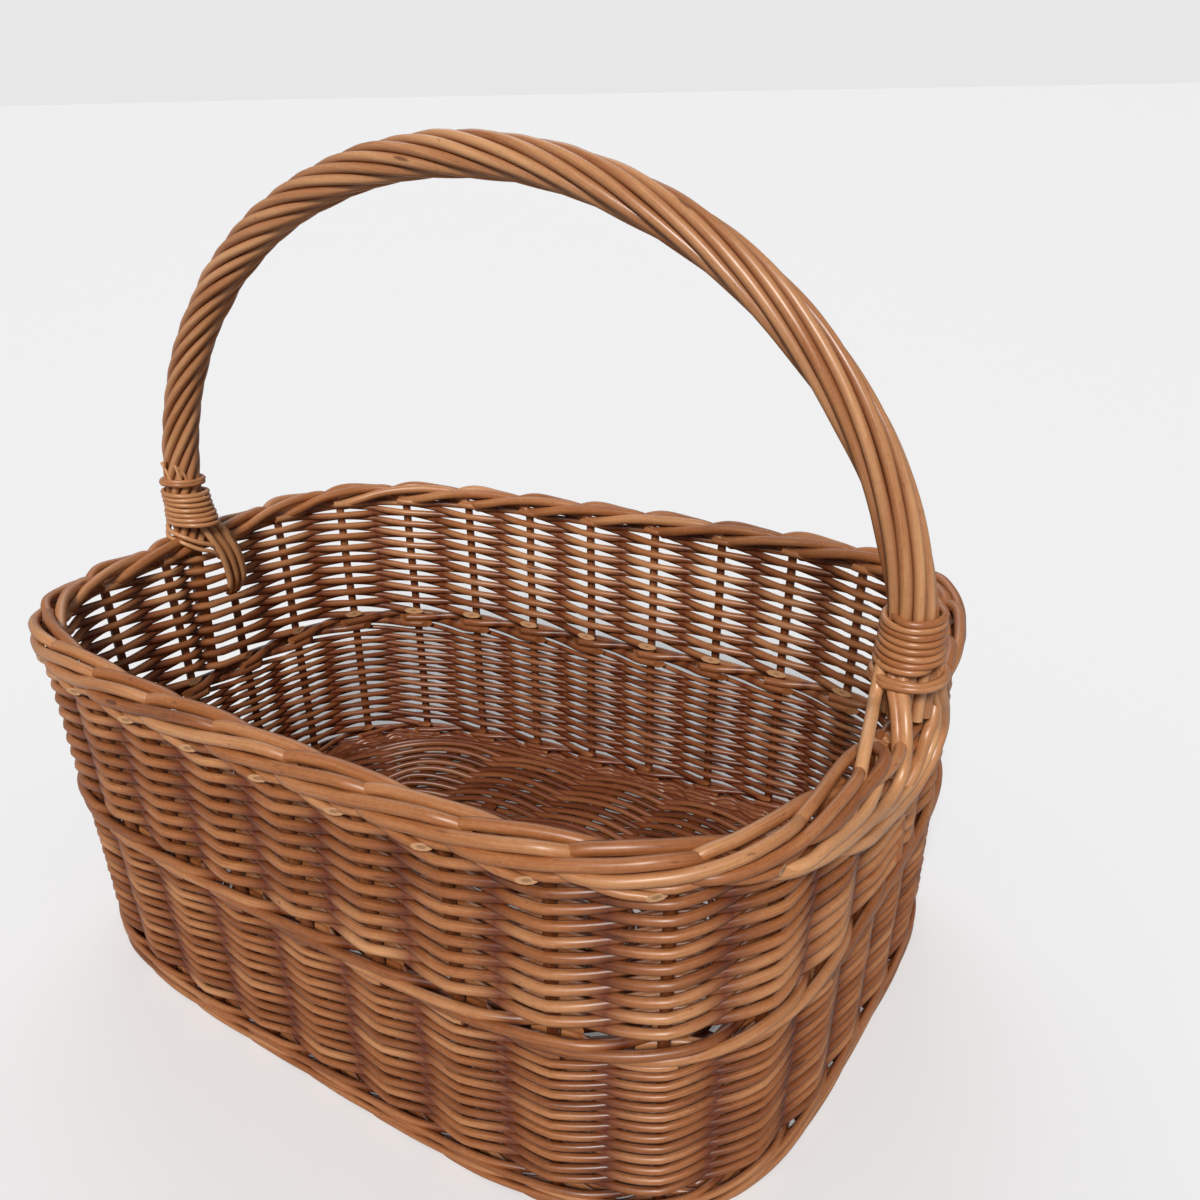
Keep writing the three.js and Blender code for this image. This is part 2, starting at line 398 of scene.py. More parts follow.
def makeWillow(name, light, radius, gloss=0.0):
    # light lifts or lowers the tone; radius is the rod's, which sizes the scars and the pith
    values = willowValues
    material = bpy.data.materials.new(name)
    finish = Shading(material)
    tone = finish.node("ShaderNodeAttribute", {"attribute_name": "rodTone"}, output="Fac")
    grain = finish.node("ShaderNodeAttribute", {"attribute_name": "grain"}, output="Vector")
    cut = finish.node("ShaderNodeAttribute", {"attribute_name": "cut"}, output="Fac")
    recess = finish.node("ShaderNodeAttribute", {"attribute_name": "recess"}, output="Fac")
    seed = tone * values["seedStep"]

    def noise(kind):
        scale, detail, roughness = values[kind]
        inputs = {"Vector": finish.stretch(grain, scale), "W": seed, "Scale": 1, "Detail": detail,
                  "Roughness": roughness}
        return finish.node("ShaderNodeTexNoise", {"noise_dimensions": "4D"}, inputs, "Fac")

    patches = noise("patches")
    streaks = noise("streaks")
    fibres = noise("fibres")
    mottle = noise("mottle")
    shade = (tone * 0.45 + patches * 0.85 + streaks * 0.75 + mottle * 0.30) - 0.72 + light
    stops = [(0.0, values["deep"]), (values["middleAt"], values["middle"]), (1.0, values["pale"])]
    colour = finish.node("ShaderNodeValToRGB", {"stops": stops}, {"Fac": shade})
    specks = finish.between(noise("specks"), *values["speckEdge"])
    knotsAcross = values["knotsAcross"] / radius
    knotGrain = finish.stretch(grain, (values["knotsAlong"], knotsAcross, knotsAcross))
    spots = finish.node("ShaderNodeTexVoronoi", {"voronoi_dimensions": "4D"},
                        {"Vector": knotGrain, "W": seed, "Scale": 1, "Randomness": 1}, "Distance")
    knot = 1 - finish.between(spots, *values["knotEdge"])
    colour = finish.mix(specks * values["speckDepth"], colour, values["scar"])
    colour = finish.mix(knot * values["knotDepth"], colour, values["scar"])
    flat = finish.stretch(grain, (0, 1, 1))
    fromMiddle = finish.node("ShaderNodeVectorMath", {"operation": "LENGTH"}, {0: flat}, "Value")
    pithStart, pithEnd = values["pithEdge"]
    pith = 1 - finish.between(fromMiddle, radius * pithStart, radius * pithEnd)
    cutColour = finish.mix(pith, finish.mix(mottle, values["cutFace"], values["pale"]), values["pith"])
    # painted shade: the colour is multiplied darker in the weave's hollows, low inside and on the strands'
    # inner sides
    colour = finish.mix(recess, colour, finish.mix(1, colour, values["paintedShadeColour"], "MULTIPLY"))
    cutMask = finish.between(cut, 0.4, 0.6)
    colour = finish.mix(cutMask, colour, cutColour)
    height = streaks * 0.5 + fibres * 0.2 + mottle * 0.25 - knot * 0.6
    bump = finish.node("ShaderNodeBump", None, {
        "Strength": values["bumpStrength"], "Distance": values["bumpDepth"], "Height": height})
    roughness = streaks * 0.22 + mottle * 0.16 + cutMask * 0.3 + (values["roughness"] - 0.19 - gloss)
    shader = finish.node("ShaderNodeBsdfPrincipled", None, {
        "Base Color": colour, "Roughness": roughness, "Normal": bump, **values["polish"]})
    finish.node("ShaderNodeOutputMaterial", None, {"Surface": shader})
    return material


finishes = {
    # name, how much lighter or darker, the rod's radius, extra gloss
    "base_stick": makeWillow("stickWillow", -0.12, 4 * mm),
    "base_weave": makeWillow("baseWillow", -0.10, 2 * mm),
    "wale": makeWillow("waleWillow", 0.0, 2.5 * mm),
    "fine_weave": makeWillow("fineWillow", 0.02, 1.6 * mm),
    "coarse_weave": makeWillow("coarseWillow", 0.06, 2.1 * mm),
    "stake": makeWillow("stakeWillow", -0.06, 2.7 * mm),
    "border": makeWillow("borderWillow", 0.08, 3.1 * mm),
    "handle_core": makeWillow("bowWillow", -0.08, 5 * mm),
    # the rope's and the binding's tone is lifted lighter to stand in for their whitish sheen: painted sheen
    "handle_rod": makeWillow("ropeWillow", 0.34, 3 * mm, 0.05),
    "binding": makeWillow("bindingWillow", 0.16, 1.6 * mm, 0.04),
}
print("willow finishes made")


stakeValues = {
    "radius": 2.7 * mm,
    "steps": 40,
    "overTop": 3 * mm,  # how far it goes up into the border
    # how long and how large its slow drift is: along the wall in stakes, and outwards
    "lean": (0.16, 0.010),
    "bulge": (0.12, 0.3 * mm),
    "shadeAtTop": 0.5,
    "shadeGain": 0.4,  # how much painted shade darkens it down to the ground
    "seed": 100,
}


def makeStake(index, values):
    node = f"stake_{index + 1:02d}"
    low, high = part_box(node)
    rng = np.random.default_rng(values["seed"] + index)
    height = np.linspace(low.z, high.z + values["overTop"], values["steps"])
    lean = wobble(rng, height, *values["lean"])
    out = wobble(rng, height, *values["bulge"])
    path = onWall(index + lean, out, height)
    rods = Rods(10)
    radius = knobbly(rng, height, values["radius"])
    # painted shade: the stake darkens towards the ground
    shade = values["shadeAtTop"] + values["shadeGain"] * (1 - height / rimHeight)
    rods.add(path, radius, rng.uniform(), outwardAt(index), recess=shade)
    rods.build(f"stake{index + 1:02d}", finishes["stake"], "stake", node)


for stakeIndex in range(stakeCount):
    makeStake(stakeIndex, stakeValues)
print("stakes made")


weaveValues = {
    # butt and tip are the radii of a rod's two ends; crowd is how much closer the rods lie at the top
    "lower": {"node": "lower_weave", "slot": "fine_weave", "rows": 25, "butt": 1.95 * mm,
              "tip": 1.68 * mm, "legs": False, "seed": 21, "crowd": 0.10, "above": 0, "pale": 0},
    "upper": {"node": "upper_weave", "slot": "coarse_weave", "rows": 20, "butt": 2.42 * mm,
              "tip": 2.18 * mm, "legs": True, "seed": 22, "crowd": 0.06, "above": 4 * mm, "pale": 1},
    "steps": 12,  # points between two stakes
    "first": 0.16,  # a rod starts this far past its stake
    "past": 0.1,  # and runs this far beyond its last one
    "roundness": 0.45,  # 0 goes straight from stake to stake, 1 is a full wave
    "uneven": 0.5 * mm,
    "drift": (2.3, 0.32 * mm),
    "bulge": (1.7, 0.35 * mm),
    "buttSlant": 2.6,
}
legRadius = 4 * mm


def postsPassed(start, rows, legs):
    # the uprights that a rod passes: place, radius and the side that it passes on
    posts = []
    side = -1
    for stake in range(start, start + rows + 2):
        posts.append((stake, stakeValues["radius"], side))
        if legs and stake % stakeCount in (stakeCount // 2 - 1, stakeCount - 1):
            posts.append((stake + 0.5, legRadius, side))
        side = -side
    return posts


def weaveOffset(along, posts, radius):
    place = np.array([post[0] for post in posts])
    reach = np.array([post[2] * (post[1] + radius) for post in posts])
    span = np.clip(np.searchsorted(place, along, side="right") - 1, 0, len(place) - 2)
    t = np.clip((along - place[span]) / (place[span + 1] - place[span]), 0, 1)
    roundness = weaveValues["roundness"]
    ease = roundness * (0.5 - 0.5 * np.cos(t * math.pi)) + (1 - roundness) * t
    return reach[span] + (reach[span + 1] - reach[span]) * ease


def makeWeave(name, values, shared):
    low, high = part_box(values["node"])
    rng = np.random.default_rng(values["seed"])
    rows = values["rows"]
    middleRadius = (values["butt"] + values["tip"]) / 2
    rods = Rods(8)
    uneven = rng.uniform(-1, 1, stakeCount + 1) * shared["uneven"]
    uneven[-1] = uneven[0]
    for start in range(stakeCount):
        ahead = np.linspace(shared["first"], rows + shared["past"], rows * shared["steps"])
        along = start + ahead
        share = ahead / rows
        bottom = low.z + values["butt"]
        rise = high.z + values["above"] - values["tip"] * 0.8 - bottom
        height = bottom + rise * (share + values["crowd"] * share * (1 - share))
        height += np.interp(along % stakeCount, np.arange(stakeCount + 1), uneven)
        height += wobble(rng, ahead, *shared["drift"])
        radius = knobbly(rng, ahead * stakePitch, values["butt"] + (values["tip"] - values["butt"]) * share)
        outward = weaveOffset(along, postsPassed(start, rows, values["legs"]), middleRadius)
        outward += wobble(rng, ahead, *shared["bulge"])
        butt = (shared["buttSlant"], -outwardAt(start))
        recess = paintedShadeOnWall(outward, height, rods.sides)
        rods.add(onWall(along, outward, height), radius, rng.uniform(), (0, 0, 1), startCut=butt,
                 offset=rng.uniform(0, 3), recess=recess, pale=(values["pale"], 0))
    rods.build(name, finishes[values["slot"]], values["slot"], values["node"])


makeWeave("lowerWeave", weaveValues["lower"], weaveValues)
makeWeave("upperWeave", weaveValues["upper"], weaveValues)
print("wall weave made")


waleValues = {
    "foot": {"node": "foot_wale", "radius": 1.75 * mm, "rounds": 2, "seed": 31, "reach": 4.3 * mm},
    "middle": {"node": "middle_wale", "radius": 2.5 * mm, "rounds": 1, "seed": 32, "reach": 5.2 * mm},
    # a rod goes in front of two stakes and behind one: along in stakes, outwards as a share of the reach,
    # the share of its rise, and a lift
    "path": [(-0.10, -1, 0, 0), (0.12, -0.95, 0, 0), (0.40, 0, 0, -0.2 * mm), (0.70, 0.8, 0, 0),
             (1.0, 1, 0, 0.4 * mm), (1.5, 1.1, 0.5, 0), (2.0, 1, 1, -0.4 * mm), (2.30, 0.8, 1, 0),
             (2.62, 0, 1, 0), (2.9, -0.9, 1, 0), (3.12, -1, 1, 0)],
    "spacing": 2.6 * mm,
    "drift": (2.0, 0.25 * mm),
    "slant": 1.4,
}


def makeWale(name, values, shared):
    low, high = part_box(values["node"])
    rng = np.random.default_rng(values["seed"])
    radius = values["radius"]
    deep = (high.z - low.z) / values["rounds"]
    rods = Rods(10)
    for turn in range(values["rounds"]):
        first = low.z + turn * deep + radius
        last = low.z + (turn + 1) * deep - radius
        knots = [(along * stakePitch, share * values["reach"], first + (last - first) * rise + lift)
                 for along, share, rise, lift in shared["path"]]
        path = curveThrough(knots, shared["spacing"])
        along = path[:, 0] / stakePitch
        for stake in range(stakeCount):
            height = path[:, 2] + wobble(rng, along, *shared["drift"])
            outward = path[:, 1] + wobble(rng, along, *shared["drift"])
            thickness = knobbly(rng, path[:, 0], radius)
            cut = (shared["slant"], -outwardAt(stake))
            rods.add(onWall(stake + along, outward, height), thickness, rng.uniform(), (0, 0, 1),
                     startCut=cut, endCut=cut, offset=rng.uniform(0, 3),
                     recess=paintedShadeOnWall(outward, height, rods.sides), pale=(0, 0))
    rods.build(name, finishes["wale"], "wale", values["node"])


makeWale("footWale", waleValues["foot"], waleValues)
makeWale("middleWale", waleValues["middle"], waleValues)
print("wales made")


baseValues = {
    "ringPitch": 4.1 * mm,
    "rodRadius": 2.0 * mm,
    "innerHalfWidth": 1.5 * mm,
    "tightness": 3.6 * mm,  # how far the rings are pushed out towards the wall
    "widest": 1.023,  # its greatest width over its width in the middle
    "innerPower": 2.4,  # the innermost ring's outline, where 2 is an ellipse
    "fineSteps": 1440,
    "turned": 0.997,  # how much of its round each rod covers
    "overStick": 3.2 * mm,  # half the depth of a stick
    "closeness": 0.92,
    "seed": 41,
    "step": 4 * mm,
    "drift": (0.13, 0.4 * mm),
    "edgeInsets": (6.4 * mm, 10.6 * mm, 14.8 * mm, 19.0 * mm),
    "edgeWave": 1.6 * mm,
    "edgeRadius": 2.3 * mm,
    "edgeSteps": 1200,
    "edgeDrift": (0.5, 1.2 * mm),
    "stickSteps": 30,
    "stickDrift": (0.2, 0.3 * mm),
    "crossSeed": 50,
    "longSeed": 60,
}
crossSticks = [f"base_cross_stick_{i}" for i in range(1, 6)]
longSticks = [f"base_long_stick_{i}" for i in range(1, 4)]


def makeStick(node, name, seed, values):
    low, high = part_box(node)
    rng = np.random.default_rng(seed)
    middle = (low + high) / 2
    size = high - low
    lengthwise = 0 if size.x > size.y else 1
    across = 1 - lengthwise
    run = np.linspace(low[lengthwise], high[lengthwise], values["stickSteps"])
    path = np.tile(np.array(middle), (len(run), 1))
    path[:, lengthwise] = run
    path[:, 2] += wobble(rng, run, *values["stickDrift"])
    rods = Rods(12)
    rods.add(path, knobbly(rng, run, size.z / 2), rng.uniform(), (0, 0, 1), pale=(0, 0),
             recess=paintedShadeOnTop(run, rods.sides))
    for points in rods.points:
        points[:, across] = middle[across] + (points[:, across] - middle[across]) * (size[across] / size.z)
    rods.build(name, finishes["base_stick"], "base_stick", node)


def crossings(ring, sticks, axis):
    # where a closed ring passes each stick, as indexes along it
    found = []
    for node in sticks:
        low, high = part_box(node)
        side = ring[:, axis] - (low[axis] + high[axis]) / 2
        turns = np.nonzero(side[:-1] * side[1:] < 0)[0]
        inside = np.abs(ring[turns, 1 - axis]) < max(abs(low[1 - axis]), abs(high[1 - axis]))
        found += turns[inside].tolist()
    return found


def makeBaseWeave(values):
    low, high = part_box("base_weave")
    rng = np.random.default_rng(values["seed"])
    level = (low.z + high.z) / 2
    thick = values["rodRadius"]
    halfLength = (high.x - low.x) / 2 - thick + values["tightness"]
    halfWidth = (high.y - low.y) / 2 - thick + values["tightness"]
    ringCount = int((halfWidth - values["innerHalfWidth"]) / values["ringPitch"]) + 1
    angle = np.linspace(0, circle, values["fineSteps"])
    rods = Rods(8)
    for ring in range(ringCount):
        inset = ring * values["ringPitch"]
        power = planValues["power"] - (planValues["power"] - values["innerPower"]) * inset / halfWidth
        x = (halfLength - inset) * signedPower(np.cos(angle), 2 / power)
        y = (halfWidth - inset) * signedPower(np.sin(angle), 2 / power)
        y = y * (1 + planValues["fullness"] * x / halfLength) / values["widest"]
        line = np.stack([x, y], -1)
        run = np.concatenate([[0], np.cumsum(np.hypot(np.diff(x), np.diff(y)))])
        marks = sorted(crossings(line, crossSticks, 0) + crossings(line, longSticks, 1))
        if len(marks) < 2:
            continue  # past the sticks' ends, where the edge rods lie instead
        markRun = run[marks]
        markRun = np.concatenate([[markRun[-1] - run[-1]], markRun, [markRun[0] + run[-1]]])
        where = np.linspace(0, run[-1] * values["turned"], int(run[-1] / values["step"]))
        count = np.interp(where, markRun, np.arange(len(markRun)))
        lift = (values["overStick"] + thick) * np.cos((count + ring) * math.pi) * values["closeness"]
        path = np.stack([np.interp(where, run, x), np.interp(where, run, y), level + lift], -1)
        path[:, 2] += wobble(rng, where, *values["drift"])
        radius = knobbly(rng, where, thick, 0.05)
        rods.add(path, radius, rng.uniform(), (0, 0, 1), offset=rng.uniform(0, 3), pale=(0, 0),
                 recess=paintedShadeOnTop(where, rods.sides))
    stake = np.linspace(0, stakeCount, values["edgeSteps"])
    for inset in values["edgeInsets"]:
        # rods round the mat's edge that follow the wall and close the base against it
        outward = -(inset + values["edgeWave"] * np.cos(stake * circle))
        height = level + wobble(rng, stake, *values["edgeDrift"])
        rods.add(onWall(stake, outward, height), values["edgeRadius"], rng.uniform(), (0, 0, 1),
                 offset=rng.uniform(0, 3), pale=(0, 0), recess=paintedShadeOnTop(stake, rods.sides))
    rods.build("baseWeave", finishes["base_weave"], "base_weave", "base_weave")


for stickIndex, stickNode in enumerate(crossSticks):
    makeStick(stickNode, f"crossStick{stickIndex + 1}", baseValues["crossSeed"] + stickIndex, baseValues)
for stickIndex, stickNode in enumerate(longSticks):
    makeStick(stickNode, f"longStick{stickIndex + 1}", baseValues["longSeed"] + stickIndex, baseValues)
makeBaseWeave(baseValues)
print("base made")


borderValues = {
    "radius": 3.0 * mm,
    "seed": 71,
    # along in stakes, then outwards and up from the middle of the rim, in millimetres
    "lay": [(0.0, 0, -8), (0.07, 0.2, -3), (0.22, 0.2, 1.0), (0.55, -1.8, 2.9), (0.95, -4.4, 2.8),
            (1.35, -6.2, 0.8), (1.7, -5.6, -2.8), (1.95, -1.5, -5.8), (2.2, 4.6, -6.0), (2.9, 7.0, -3.4),
            (3.5, 6.2, 0.8), (4.0, 4.0, 2.8), (4.3, -1.5, -1)],
    "tuck": [(4.3, 3.4, -8.2), (4.45, 5.2, -9.6), (4.62, 6.6, -10.6), (4.8, 7.0, -11.2)],
    "tuckRadius": 2.0 * mm,
    "tuckSlant": 2.0,
    "untucked": (25, 26, 27),
    "wholeSpan": (0, 9),
    # by the foot at +X some rods go up into the binding and come out past it: from where to where they lie
    "spans": {25: [(0, 3.5)], 26: [(0, 2.9)], 27: [(0, 1.7), (3.5, 9)], 28: [(2.2, 9)], 29: [(1.35, 9)]},
    "dive": (0.22, -1, -3),  # where a rod that stops short goes: further along, outwards, and down
    "drift": (2.4, 0.4 * mm),
    "unlike": (0.94, 1.05),  # the thinnest and the thickest rod over the usual one
    "taper": (1.03, 0.93),
}


def rimPath(start, knots, spacing=2.6 * mm):
    # a path given along the rim in stakes, and outwards and up in millimetres
    knots = np.array(knots, float) * (stakePitch, mm, mm)
    path = curveThrough(knots, spacing)
    return start + path[:, 0] / stakePitch, path[:, 1], rimHeight + path[:, 2]


def makeBorder(values):
    rng = np.random.default_rng(values["seed"])
    rods = Rods(10)
    further, diveOutward, down = values["dive"]
    for stake in range(stakeCount):
        tone = rng.uniform()
        thick = values["radius"] * rng.uniform(*values["unlike"])
        for first, last in values["spans"].get(stake, [values["wholeSpan"]]):
            lay = [knot for knot in values["lay"] if first <= knot[0] <= last]
            if last < values["lay"][-1][0]:
                lay.append((last + further, diveOutward, lay[-1][2] + down))
            along, outward, height = rimPath(stake, lay)
            outward = outward + wobble(rng, along, *values["drift"])
            height = height + wobble(rng, along, *values["drift"])
            thinning = np.linspace(*values["taper"], len(along))
            radius = knobbly(rng, along * stakePitch, thick * thinning)
            rods.add(onWall(along, outward, height), radius, tone, offset=rng.uniform(0, 3), pale=(0, 0))
        if stake in values["untucked"]:
            continue
        along, outward, height = rimPath(stake, values["tuck"])
        tip = (values["tuckSlant"], outwardAt(stake + values["tuck"][-1][0]))
        rods.add(onWall(along, outward, height), values["tuckRadius"], tone, (0, 0, 1), endCut=tip,
                 offset=rng.uniform(0, 3), pale=(0, 1))
    rods.build("border", finishes["border"], "border", "border")


makeBorder(borderValues)
print("border made")


bowLow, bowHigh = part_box("handle_bow")
handleValues = {
    "halfSpan": planValues["halfLength"],
    "spring": 218 * mm,  # where the straight legs end and the arch starts
    "legSteps": 20,
    "archSteps": 600,
    "coreRadius": 5.2 * mm,
    "coreSteps": 160,
    "coreTone": 0.4,
    "coreSlant": 1.5,
    "legTaper": 90 * mm,  # how far up from its ends the bow thickens
    "ropeBottom": 190 * mm,
    "ropeRadius": 8.1 * mm,
    "ropeLength": 0.8,
    "strands": 9,
    "strandRadius": 2.78 * mm,
    "steps": 300,
    "turns": 3.2,
    "firstTwist": 0.3,  # how fast the rope turns at the +X foot, over its mean
    "drift": (0.15, 0.5 * mm),
    "taper": (1.04, 0.94),
    "unlike": (0.95, 1.04),  # the thinnest and the thickest strand over the usual one
    "innerEdge": 0.7,  # lower numbers spread the painted shade between the strands
    "seed": 81,
}


def handleLine(bottom, steps):
    # the middle of the handle, its tangent and the share of its length, from the +X foot to the other
    values = handleValues
    rise = bowHigh.z - values["coreRadius"] - values["spring"]
    leg = values["spring"] - bottom
    angle = np.linspace(0, math.pi, values["archSteps"])
    halfSpan = values["halfSpan"]
    arch = np.stack([halfSpan * np.cos(angle), 0 * angle, values["spring"] + rise * np.sin(angle)], -1)
    legRun = np.linspace(0, leg, values["legSteps"])[:-1]
    right = np.stack([0 * legRun + halfSpan, 0 * legRun, bottom + legRun], -1)
    line = np.concatenate([right, arch, (right * (-1, 1, 1))[::-1]])
    run = np.concatenate([[0], np.cumsum(np.linalg.norm(np.diff(line, axis=0), axis=1))])
    where = np.linspace(0, run[-1], steps)
    path = np.stack([np.interp(where, run, line[:, i]) for i in range(3)], -1)
    tangent = np.gradient(path, axis=0)
    tangent /= np.linalg.norm(tangent, axis=1, keepdims=True)
    return path, tangent, where / run[-1]


def makeBow():
    values = handleValues
    rng = np.random.default_rng(values["seed"])
    path, _, share = handleLine(bowLow.z, values["coreSteps"])
    fromFoot = np.minimum(path[:, 2] - bowLow.z, values["legTaper"]) / values["legTaper"]
    radius = legRadius + (values["coreRadius"] - legRadius) * fromFoot
    rods = Rods(12)
    rods.add(path, knobbly(rng, share, radius), values["coreTone"], (0, 1, 0),
             startCut=(values["coreSlant"], (1, 0, 0)), endCut=(values["coreSlant"], (-1, 0, 0)))
    rods.build("handleBow", finishes["handle_core"], "handle_core", "handle_bow")


def ropePath(number):
    values = handleValues
    path, tangent, share = handleLine(values["ropeBottom"], values["steps"])
    turned = values["firstTwist"] * share + (1 - values["firstTwist"]) * share ** 2
    twist = circle * (number / values["strands"] + values["turns"] * turned)
    outward = np.stack([tangent[:, 2], 0 * share, -tangent[:, 0]], -1)
    spoke = outward * np.cos(twist)[:, None] + np.array((0, 1, 0)) * np.sin(twist)[:, None]
    return path + spoke * values["ropeRadius"], spoke, share


def makeRope():
    values = handleValues
    for number in range(values["strands"]):
        rng = np.random.default_rng(values["seed"] + 1 + number)
        path, spoke, share = ropePath(number)
        along = share * values["ropeLength"]
        path = path + spoke * wobble(rng, along, *values["drift"])[:, None]
        taper = np.linspace(*values["taper"], len(share)) * rng.uniform(*values["unlike"])
        rods = Rods(12)
        # painted shade: each strand darkens on its side that faces into the rope
        facingIn = (1 - np.cos(aroundRod(rods.sides))) / 2
        paintedInnerShade = np.tile(facingIn, (len(share), 1)) ** values["innerEdge"]
        rods.add(path, knobbly(rng, along, values["strandRadius"] * taper, 0.04), rng.uniform(), spoke,
                 offset=rng.uniform(0, 3), recess=paintedInnerShade, pale=(0, 0))
        rods.build(f"handleStrand{number + 1}", finishes["handle_rod"], "handle_rod",
                   f"handle_strand_{number + 1:02d}")


makeBow()
makeRope()
print("handle made")


windingValues = {
    "stepsPerTurn": 40,
    "endSize": 0.8,  # the ends go in under the other turns
    "endReach": 0.7,
    "length": 0.6,
    "drift": (0.07, 0.35 * mm),
}


def atFoot(side, places):
    # places are along the rim, to the right as seen from outside, then outwards, then up from the rim
    foot = -0.5 if side > 0 else stakeCount / 2 - 0.5
    return onWall(foot + places[:, 0] / stakePitch, places[:, 1], rimHeight + places[:, 2])


def wraps(bottom, top, count, bottomSize, topSize, lean, phase):
    # a tight winding round a foot: sizes are (along, outwards, shift along, shift outwards) of its oval
    angle = np.linspace(0, circle * count, int(count * windingValues["stepsPerTurn"])) + phase
    share = np.linspace(0, 1, len(angle))
    bottomSize = np.array(bottomSize)[None, :]
    size = bottomSize + (np.array(topSize)[None, :] - bottomSize) * share[:, None]
    fromEnd = np.minimum(angle - angle[0], angle[-1] - angle) / windingValues["endReach"]
    endSize = windingValues["endSize"]
    size[:, :2] *= endSize + (1 - endSize) * np.clip(fromEnd, 0, 1)[:, None]
    return np.stack([size[:, 2] + size[:, 0] * np.cos(angle), size[:, 3] + size[:, 1] * np.sin(angle),
                     bottom + (top - bottom) * share + lean * np.cos(angle)], -1)


rightFoot = {
    "side": 1,
    "seed": 91,
    "bindingRadius": 1.7 * mm,
    # in millimetres: from, to, turns, size at the bottom and at the top, how much it leans, where it starts
    "windings": [
        (24.5, 47.5, 7.3, (14.2, 14.2, -1, -0.5), (12.5, 12.5, 0, 0), 0.8, 2.0),
        (17, 21, 2.3, (16.6, 16.6, -1.5, 0), (15.6, 15.6, -1.5, 0), 1.0, 3.4),
    ],
    # radius, then places in millimetres: along, outwards and up
    "rods": [
        (2.9, [(-79, 1, -20), (-79, 5, -12), (-70, 4, -2), (-57, 1, 7), (-37, -4, 12), (-18, -9, 12),
               (-11, -9.5, 23), (-8, -7, 34)]),
        (2.8, [(-8, -4, 30), (-13, -3.5, 18), (-20, 1, 9), (-27, 5, -2), (-29, 6.5, -11), (-27, 4, -19)]),
        (2.9, [(-8, 0, 28), (-14, 1.5, 16), (-22, 6, 7), (-27, 9, -3), (-28, 10, -13), (-34, 10, -20),
               (-45, 9.5, -22.5), (-63, 9, -21), (-84, 9, -18), (-104, 8.5, -16), (-122, 5, -15),
               (-134, -2, -14)]),
        (2.8, [(12, 4, 4), (11, 9, 1), (7, 10.8, -5), (0, 10.8, -12), (-3, 10, -24), (-9, 8, -34),
               (-15, 2, -42)]),
        (2.9, [(2, 10, 30), (4, 12, 18), (7, 12.6, 9), (18, 13, -7), (22.5, 13, -19), (17, 12, -31),
               (2, 10.4, -39), (-17, 9.4, -39.5), (-43, 8.5, -35.5), (-62, 8, -33), (-76, 3, -31),
               (-84, -3, -30)]),
        (2.1, [(2, 9, 28), (4, 10.5, 12), (13, 11.4, -6), (17, 11.4, -17), (12, 10.8, -27), (-3, 9.8, -33.5),
               (-20, 8.8, -34), (-42, 8, -30.5), (-58, 3, -30), (-66, -3, -29)]),
        (2.8, [(-134, -2, -13), (-122, 4, -14.5), (-112, 8, -14), (-100, 8.4, -12.5), (-83, 8.4, -13),
               (-62, 8, -11.5), (-46, 5, -4), (-38, 2, -2.4), (-31, -4, -4)]),
    ],
    "cutEnd": [(-8, -7, 26), (-13, -10, 12), (-17, -10, 2)],
    "cutEndRadius": 2.0 * mm,
    "cutEndFace": (1.8, (0.4, -1, 0.2)),
}

leftFoot = {
    "side": -1,
    "seed": 95,
    "bindingRadius": 1.5 * mm,
    "windings": [
        (37.5, 41, 2.0, (12.4, 12.4, 0, 0), (12.2, 12.2, 0, 0), 0.8, 0.5),
        (12, 33.4, 7.0, (13.2, 16.2, 0, -4.2), (12.4, 12.8, 0, -0.4), 0.8, 1.5),
    ],
    "bundleRadius": 1.9 * mm,
    "bundle": [(-1, -6, 28), (-3, -10.5, 15), (-8, -14, 5), (-14, -14.5, -7), (-19, -12, -21),
               (-22, -8, -33), (-23, -1, -42)],
    "bundleSpread": [0.35, 0.7, 0.95, 1.0, 1.0, 0.9, 0.6],
    "bundleCount": 6,
    "bundleStep": (2.9, 2.2),  # from one rod of the bundle to the next: along, and outwards in turn
    "diagonalRadius": 1.4 * mm,
    "diagonals": [
        [(4, 11, 15), (8, 10, 11.5), (13, 2, 9.5), (12.5, -6, 7.5), (7, -13, 3), (-2, -15.5, -2),
         (-8, -13, -8)],
        [(4, 12, 11), (9, 10, 7.5), (14, 2, 5.5), (13, -6, 3.5), (7, -13.5, -1.5), (-2, -15.5, -6),
         (-8, -13, -12)],
    ],
    # thin ends that stand out above the binding
    "frayRadius": 0.9 * mm,
    "frays": [
        [(9, 4, 38), (10.5, 2, 46), (11.5, -1, 54)],
        [(10, -3, 38), (11, -1, 46), (11, 3, 53)],
        [(7, -8, 38), (8.5, -7.5, 47), (9, -5, 55)],
        [(4, -10, 38), (6, -9.5, 46), (8.5, -8, 51)],
    ],
}


def makeBinding(values, rng, name, node):
    binding = Rods(8)
    for winding in values["windings"]:
        path = atFoot(values["side"], wraps(*winding) * mm)
        run = np.linspace(0, windingValues["length"], len(path))
        path += wobble(rng, run, *windingValues["drift"])[:, None]
        binding.add(path, values["bindingRadius"], rng.uniform(), (0, 0, 1), offset=rng.uniform(0, 3),
                    pale=(0, 0))
    binding.build(name, finishes["binding"], "binding", node)


footRodValues = {"spacing": 2.2 * mm, "drift": (0.05, 0.2 * mm)}


def addFootRod(rods, rng, side, knots, radius, pale=(0, 0), endCut=None):
    path = atFoot(side, curveThrough(np.array(knots, float) * mm, footRodValues["spacing"]))
    path[:, 2] += wobble(rng, path[:, 1], *footRodValues["drift"])
    rods.add(path, knobbly(rng, path[:, 2] + path[:, 1], radius), rng.uniform(), offset=rng.uniform(0, 3),
             pale=pale, endCut=endCut)


